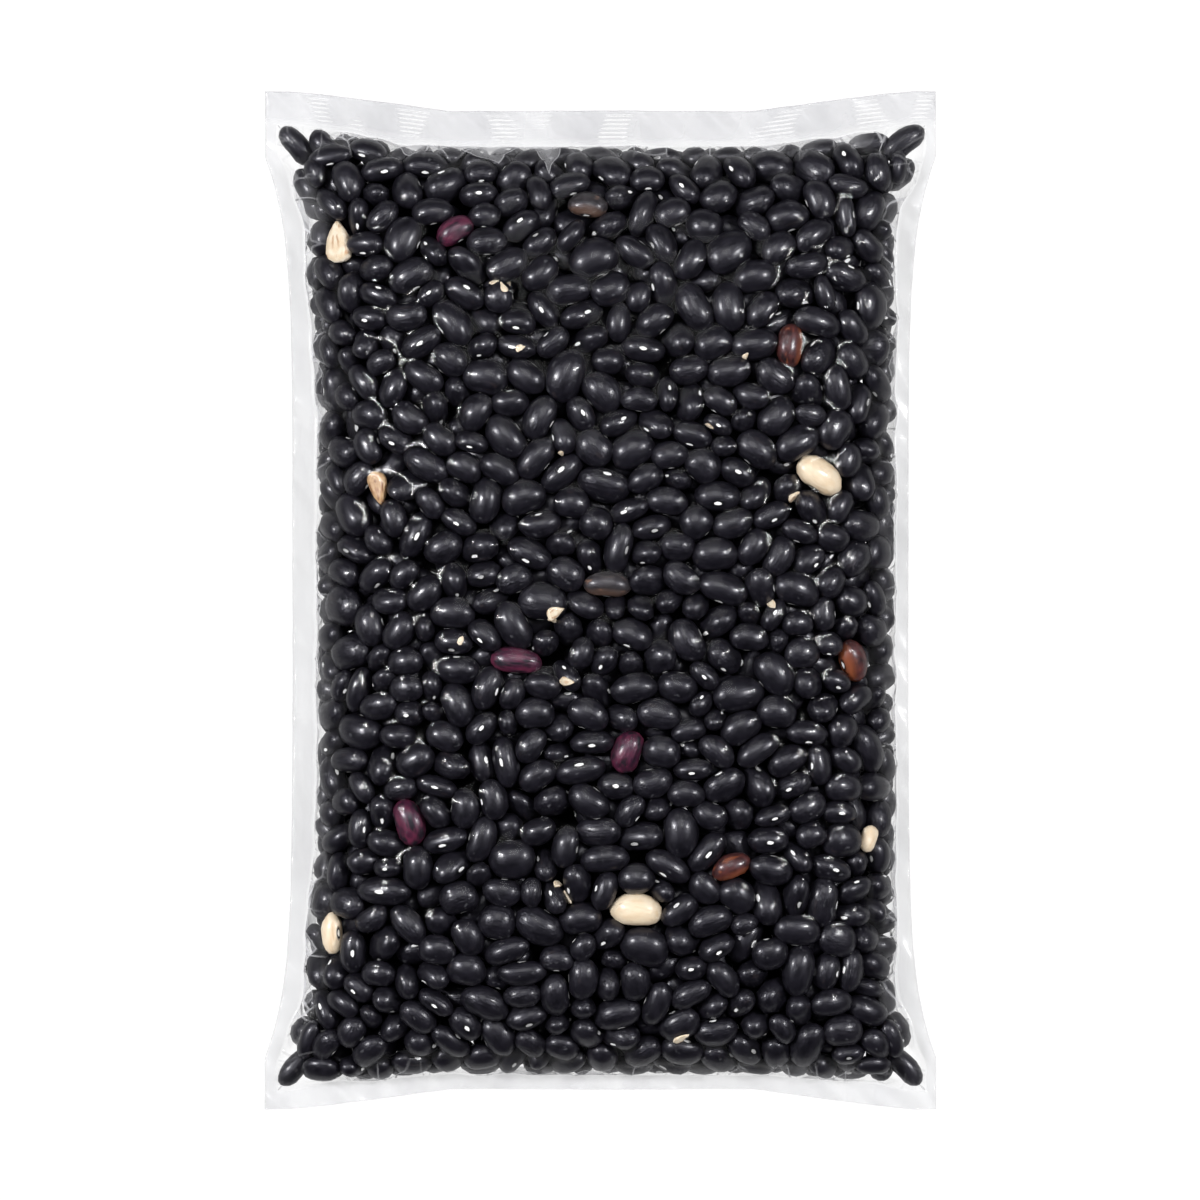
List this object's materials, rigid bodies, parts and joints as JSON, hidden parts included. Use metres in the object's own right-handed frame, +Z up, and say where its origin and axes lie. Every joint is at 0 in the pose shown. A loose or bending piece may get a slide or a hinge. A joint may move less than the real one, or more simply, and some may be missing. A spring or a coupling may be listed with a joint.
{
  "type": "bag of dried beans",
  "caption": "Clear film bag sealed on all four sides and filled with dried black beans, lying on its back, with a ribbed seal across the top.",
  "frame": {"origin": "middle of the bag's bounding box, on the surface that it lies on", "axes": "+X across the bag to the picture's right, +Y along it to the ribbed seal at the picture's top, +Z up, out of the picture"},
  "size_m": [0.161, 0.2442, 0.0455],
  "materials": {
    "black_beans": "satin seed coat",
    "clear_film": "clear gloss, milky at the seals"
  },
  "bodies": {
    "root": {"bag_of_beans": "black_beans"}
  },
  "joints": []
}
